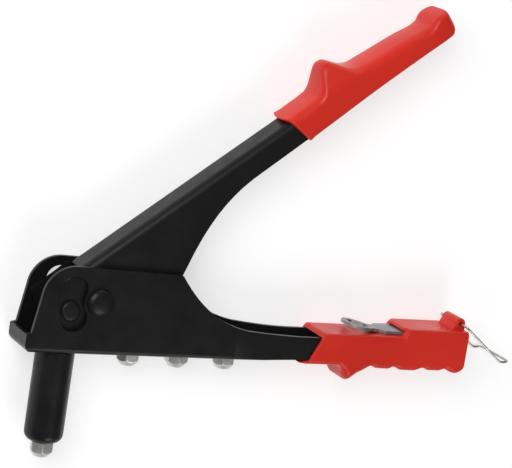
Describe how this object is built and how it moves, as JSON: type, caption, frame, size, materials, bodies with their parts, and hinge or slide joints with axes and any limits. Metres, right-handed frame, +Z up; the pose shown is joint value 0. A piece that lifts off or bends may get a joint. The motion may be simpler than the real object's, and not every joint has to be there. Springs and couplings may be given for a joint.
{
  "type": "hand riveter",
  "caption": "Lever hand riveter lying on its side, handles open, with pressed-steel channel frame and lever, nose barrel, spare nosepieces, plastic grips, stored wrench and wire latch.",
  "frame": {"origin": "pivot axis where the lower rivet head's flat end lies on the bench", "axes": "+X back along the lower grip, +Y from the nose towards the upper handle, +Z up from the bench along the pivot axis"},
  "size_m": [0.3046, 0.2704, 0.035],
  "materials": {
    "black_paint": "semi-gloss black paint",
    "red_plastic": "moulded, satin gloss",
    "nickel": "dull nickel plate",
    "stamped_steel": "stamped, zinc-grey",
    "spring_wire": "drawn wire",
    "inner_steel": "turned, oiled"
  },
  "bodies": {
    "frame": {"lower_frame": "black_paint", "nose_barrel": "black_paint", "barrel_lock_ring": "inner_steel", "nosepiece_fitted": "nickel", "nosepiece_spare_1": "nickel", "nosepiece_spare_2": "nickel", "nosepiece_spare_3": "nickel", "lower_grip": "red_plastic", "pivot_rivet": "black_paint", "return_spring": "spring_wire"},
    "handle": {"upper_handle": "black_paint", "upper_grip": "red_plastic", "trunnion_pin_near": "black_paint", "trunnion_pin_far": "black_paint", "pivot_sleeve": "inner_steel"},
    "pull": {"pull_head": "inner_steel", "case_lock_nut": "inner_steel", "jaw_case": "inner_steel", "jaw_spring": "spring_wire"},
    "pusher": {"jaw_pusher": "inner_steel"},
    "jaw_a": {"jaw_1": "inner_steel"},
    "jaw_b": {"jaw_2": "inner_steel"},
    "jaw_c": {"jaw_3": "inner_steel"},
    "wrench": {"nosepiece_wrench": "stamped_steel"},
    "bail": {"latch_bail": "spring_wire"}
  },
  "joints": [
    {"name": "handle_pivot", "type": "hinge", "parent": "frame", "child": "handle", "pos_m": [0, 0, 0.0175], "axis": [0, 0, -1], "range_deg": [0, 39], "stiffness_Nm_per_rad": 0.4},
    {"name": "pull_slide", "type": "slide", "parent": "frame", "child": "pull", "axis": [0, 1, 0], "range_m": [0, 0.0116], "deforming": ["return_spring"]},
    {"name": "pusher_slide", "type": "slide", "parent": "pull", "child": "pusher", "axis": [0, -1, 0], "range_m": [0, 0.0012]},
    {"name": "jaw_slide_a", "type": "slide", "parent": "pull", "child": "jaw_a", "axis": [-0.2026, -0.9793, 0], "range_m": [0, 0.0012]},
    {"name": "jaw_slide_b", "type": "slide", "parent": "pull", "child": "jaw_b", "axis": [0.1013, -0.9793, 0.1755], "range_m": [0, 0.0012]},
    {"name": "jaw_slide_c", "type": "slide", "parent": "pull", "child": "jaw_c", "axis": [0.1013, -0.9793, -0.1755], "range_m": [0, 0.0012]},
    {"name": "wrench_slide", "type": "slide", "parent": "frame", "child": "wrench", "axis": [-1, 0, 0], "range_m": [0, 0.033]},
    {"name": "bail_swing", "type": "hinge", "parent": "frame", "child": "bail", "pos_m": [0.2318, -0.004, 0.0175], "axis": [0, 0, 1], "range_deg": [-45, 93]}
  ],
  "couplings": [
    {"joint": "pull_slide", "follows": "handle_pivot", "m_per_rad": 0.01669},
    {"joint": "pusher_slide", "follows": "handle_pivot", "m_per_rad": 0.001665},
    {"joint": "jaw_slide_a", "follows": "handle_pivot", "m_per_rad": 0.0017},
    {"joint": "jaw_slide_b", "follows": "handle_pivot", "m_per_rad": 0.0017},
    {"joint": "jaw_slide_c", "follows": "handle_pivot", "m_per_rad": 0.0017}
  ]
}
